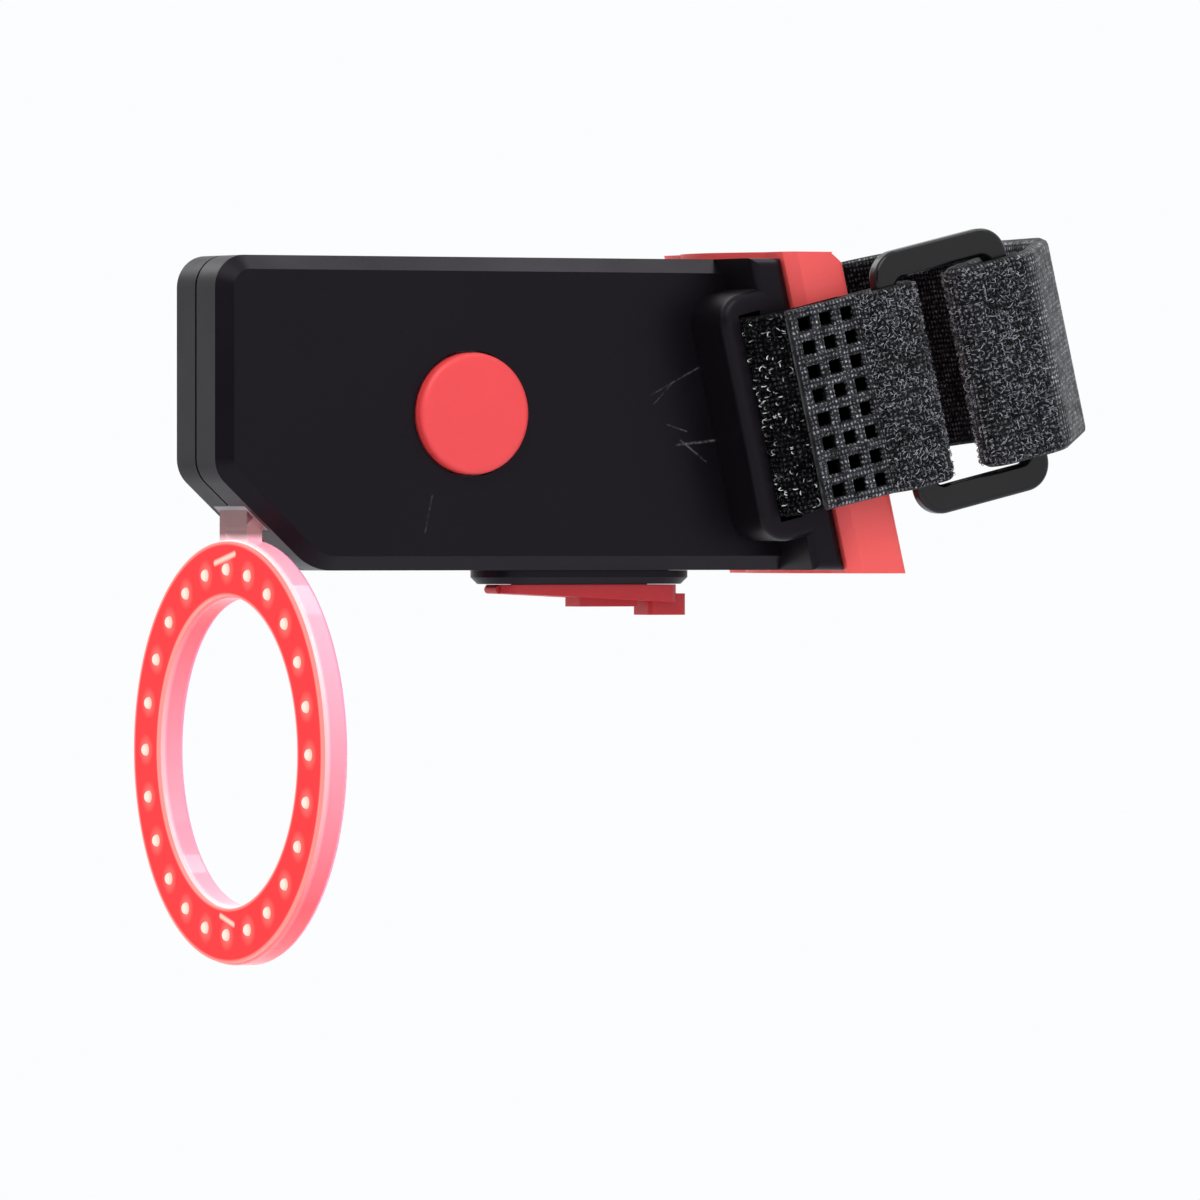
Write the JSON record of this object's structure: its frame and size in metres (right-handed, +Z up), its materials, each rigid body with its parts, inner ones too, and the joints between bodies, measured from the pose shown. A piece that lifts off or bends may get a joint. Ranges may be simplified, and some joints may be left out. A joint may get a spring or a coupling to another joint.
{
  "type": "bike rear light",
  "caption": "Slim rechargeable rear light on a strap round a seat post, with a glowing ring hung under its rear end, a push button and a covered charging port.",
  "frame": {"origin": "on the seat post's axis, at the mid-height of the lamp body", "axes": "+X points forward from the lamp to the post, along the body's length; -Y is the button's side; +Z is up"},
  "size_m": [0.0845, 0.0372, 0.0647],
  "materials": {
    "black_abs": "satin moulded ABS",
    "grey_silicone": "moulded silicone",
    "clear_acrylic": "clear moulded acrylic",
    "ring_glow": "red translucent face",
    "red_button": "satin moulded",
    "chip_black": "matte epoxy",
    "switch_white": "matte",
    "board_green": "solder mask",
    "board_white": "solder mask",
    "ceramic_tan": "fired ceramic",
    "lamp_yellow": "silicone lens",
    "cell_foil": "pouch foil",
    "foam_grey": "foam",
    "wire_red": "insulation",
    "socket_steel": "plated steel",
    "contact_brass": "plated",
    "port_rubber": "moulded silicone",
    "red_rubber": "moulded silicone",
    "strap_fabric": "hook and loop nylon",
    "buckle_plastic": "glossy moulded",
    "screw_steel": "dark plated"
  },
  "bodies": {
    "lamp": {"near_shell": "black_abs", "far_shell": "black_abs", "shell_seal": "grey_silicone", "light_guide": "clear_acrylic", "ring_face": "ring_glow", "guide_seal": "grey_silicone", "button_seal": "grey_silicone", "switch_body": "chip_black", "circuit_board": "board_green", "controller_chip": "chip_black", "charger_chip": "chip_black", "board_components": "ceramic_tan", "led_board": "board_white", "leds": "lamp_yellow", "battery_cell": "cell_foil", "battery_pad": "foam_grey", "battery_wires": "wire_red", "led_wires": "wire_red", "port_bezel": "black_abs", "usb_socket": "socket_steel", "usb_tongue": "chip_black", "usb_contacts": "contact_brass", "post_pad": "red_rubber", "strap": "strap_fabric", "strap_tab": "strap_fabric", "strap_hook_patch": "strap_fabric", "buckle": "buckle_plastic", "housing_screws": "screw_steel"},
    "button": {"power_button": "red_button"},
    "plunger": {"switch_plunger": "switch_white"},
    "plug": {"port_plug": "port_rubber"}
  },
  "joints": [
    {"name": "button_press", "type": "slide", "parent": "lamp", "child": "button", "axis": [0, 1, 0], "range_m": [0, 0.00035], "stiffness_N_per_m": 600},
    {"name": "plunger_press", "type": "slide", "parent": "lamp", "child": "plunger", "axis": [0, 1, 0], "range_m": [0, 0.00035]},
    {"name": "plug_swing", "type": "hinge", "parent": "lamp", "child": "plug", "pos_m": [-0.03823, 0, -0.01545], "axis": [0, 1, 0], "range_deg": [0, 120], "stiffness_Nm_per_rad": 0.003}
  ],
  "couplings": [
    {"joint": "plunger_press", "follows": "button_press", "ratio": 1}
  ]
}
